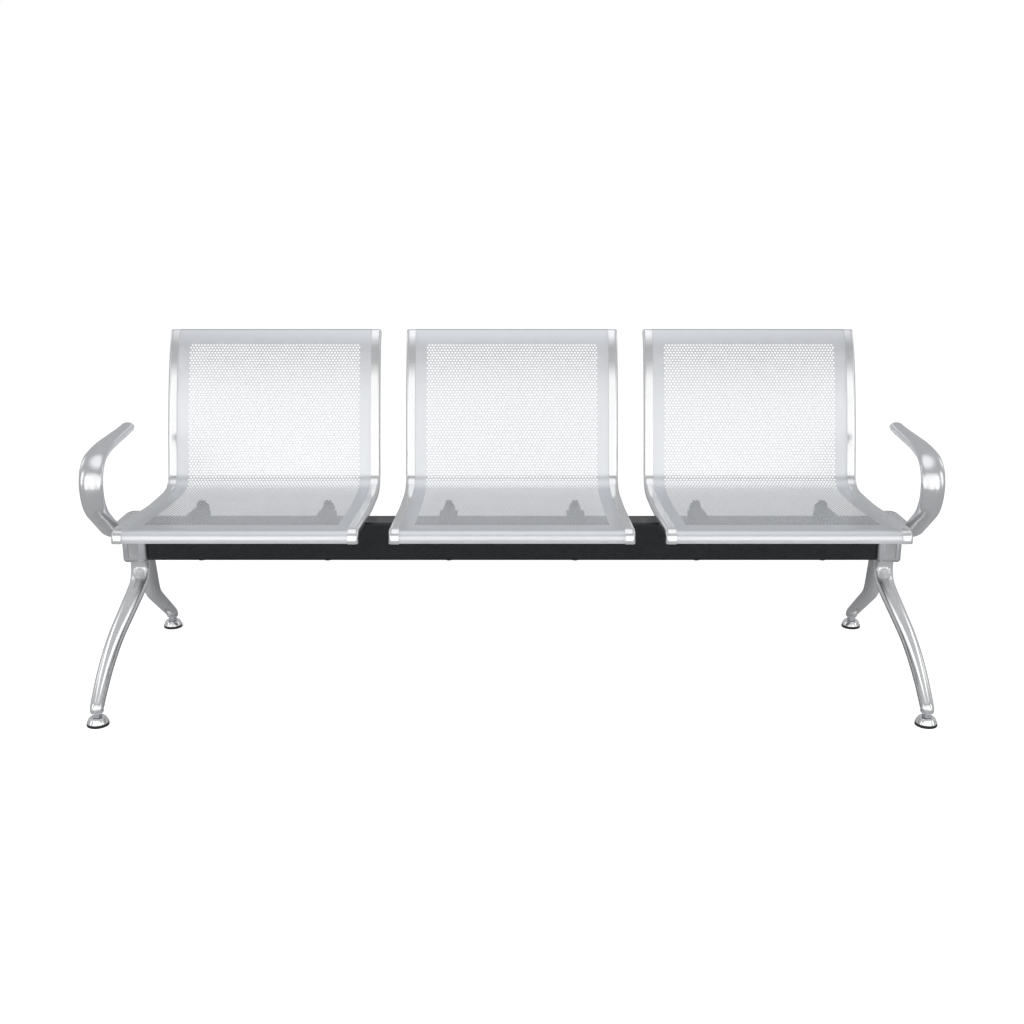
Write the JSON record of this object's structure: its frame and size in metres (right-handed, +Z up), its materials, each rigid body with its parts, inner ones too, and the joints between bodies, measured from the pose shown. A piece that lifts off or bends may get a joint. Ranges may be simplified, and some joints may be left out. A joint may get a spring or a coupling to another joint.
{
  "type": "beam seating bench",
  "caption": "Beam seating for waiting areas: perforated steel seats with rounded side rails on a black box beam, curved legs with levelling feet and an open loop armrest at each end.",
  "frame": {"origin": "on the floor, under the middle of the whole bench's bounding box", "axes": "+X along the beam to the right as seen from the front, +Y to the back, +Z up; the seats face -Y"},
  "size_m": [1.8, 0.695, 0.7536],
  "materials": {
    "seat_sheet": "fine silver powder coat, satin",
    "rail_chrome": "bright polished chrome",
    "black_coat": "black powder coat, satin",
    "beam_coat": "black powder coat, satin",
    "plate_steel": "bare mild steel",
    "block_cast": "satin silver over die casting",
    "arm_cast": "satin polished die casting",
    "leg_cast": "polished die casting",
    "foot_chrome": "polished chrome",
    "pad_rubber": "matt black rubber",
    "fastener_zinc": "bright zinc plating"
  },
  "bodies": {
    "bench": {"arm_screws": "fastener_zinc", "armrest_left": "arm_cast", "armrest_right": "arm_cast", "bar_nuts": "fastener_zinc", "beam": "beam_coat", "beam_end_plate_left": "plate_steel", "beam_end_plate_right": "plate_steel", "block_screws": "fastener_zinc", "end_block_left": "block_cast", "end_block_right": "block_cast", "front_leg_left": "leg_cast", "front_leg_right": "leg_cast", "front_leg_socket_left": "foot_chrome", "front_leg_socket_right": "foot_chrome", "leg_screws": "fastener_zinc", "rail_caps_centre": "rail_chrome", "rail_caps_left": "rail_chrome", "rail_caps_right": "rail_chrome", "rear_leg_left": "leg_cast", "rear_leg_right": "leg_cast", "rear_leg_socket_left": "foot_chrome", "rear_leg_socket_right": "foot_chrome", "saddle_left_centre": "black_coat", "saddle_left_left": "black_coat", "saddle_left_right": "black_coat", "saddle_right_centre": "black_coat", "saddle_right_left": "black_coat", "saddle_right_right": "black_coat", "seat_bolts": "fastener_zinc", "seat_panel_centre": "seat_sheet", "seat_panel_left": "seat_sheet", "seat_panel_right": "seat_sheet", "seat_washers": "fastener_zinc", "side_rail_left_centre": "rail_chrome", "side_rail_left_left": "rail_chrome", "side_rail_left_right": "rail_chrome", "side_rail_right_centre": "rail_chrome", "side_rail_right_left": "rail_chrome", "side_rail_right_right": "rail_chrome", "support_bar_left_centre": "black_coat", "support_bar_left_left": "black_coat", "support_bar_left_right": "black_coat", "support_bar_right_centre": "black_coat", "support_bar_right_left": "black_coat", "support_bar_right_right": "black_coat"},
    "foot_base_front_left": {"front_foot_cup_left": "foot_chrome", "front_foot_pad_left": "pad_rubber"},
    "foot_screw_front_left": {"front_foot_stud_left": "fastener_zinc"},
    "foot_base_front_right": {"front_foot_cup_right": "foot_chrome", "front_foot_pad_right": "pad_rubber"},
    "foot_screw_front_right": {"front_foot_stud_right": "fastener_zinc"},
    "foot_base_rear_left": {"rear_foot_cup_left": "foot_chrome", "rear_foot_pad_left": "pad_rubber"},
    "foot_screw_rear_left": {"rear_foot_stud_left": "fastener_zinc"},
    "foot_base_rear_right": {"rear_foot_cup_right": "foot_chrome", "rear_foot_pad_right": "pad_rubber"},
    "foot_screw_rear_right": {"rear_foot_stud_right": "fastener_zinc"}
  },
  "joints": [
    {"name": "foot_height_front_left", "type": "slide", "parent": "bench", "child": "foot_base_front_left", "axis": [0, 0, -1], "range_m": [0, 0.01]},
    {"name": "foot_turn_front_left", "type": "hinge", "parent": "foot_base_front_left", "child": "foot_screw_front_left", "pos_m": [-0.87, -0.32445, 0.02], "axis": [0, 0, -1], "range_deg": [0, 2930]},
    {"name": "foot_height_front_right", "type": "slide", "parent": "bench", "child": "foot_base_front_right", "axis": [0, 0, -1], "range_m": [0, 0.01]},
    {"name": "foot_turn_front_right", "type": "hinge", "parent": "foot_base_front_right", "child": "foot_screw_front_right", "pos_m": [0.87, -0.32445, 0.02], "axis": [0, 0, -1], "range_deg": [0, 2930]},
    {"name": "foot_height_rear_left", "type": "slide", "parent": "bench", "child": "foot_base_rear_left", "axis": [0, 0, -1], "range_m": [0, 0.01]},
    {"name": "foot_turn_rear_left", "type": "hinge", "parent": "foot_base_rear_left", "child": "foot_screw_rear_left", "pos_m": [-0.87, 0.27267, 0.02], "axis": [0, 0, -1], "range_deg": [0, 2930]},
    {"name": "foot_height_rear_right", "type": "slide", "parent": "bench", "child": "foot_base_rear_right", "axis": [0, 0, -1], "range_m": [0, 0.01]},
    {"name": "foot_turn_rear_right", "type": "hinge", "parent": "foot_base_rear_right", "child": "foot_screw_rear_right", "pos_m": [0.87, 0.27267, 0.02], "axis": [0, 0, -1], "range_deg": [0, 2930]}
  ],
  "couplings": [
    {"joint": "foot_turn_front_left", "follows": "foot_height_front_left", "rad_per_m": 5026.5},
    {"joint": "foot_turn_front_right", "follows": "foot_height_front_right", "rad_per_m": 5026.5},
    {"joint": "foot_turn_rear_left", "follows": "foot_height_rear_left", "rad_per_m": 5026.5},
    {"joint": "foot_turn_rear_right", "follows": "foot_height_rear_right", "rad_per_m": 5026.5}
  ]
}
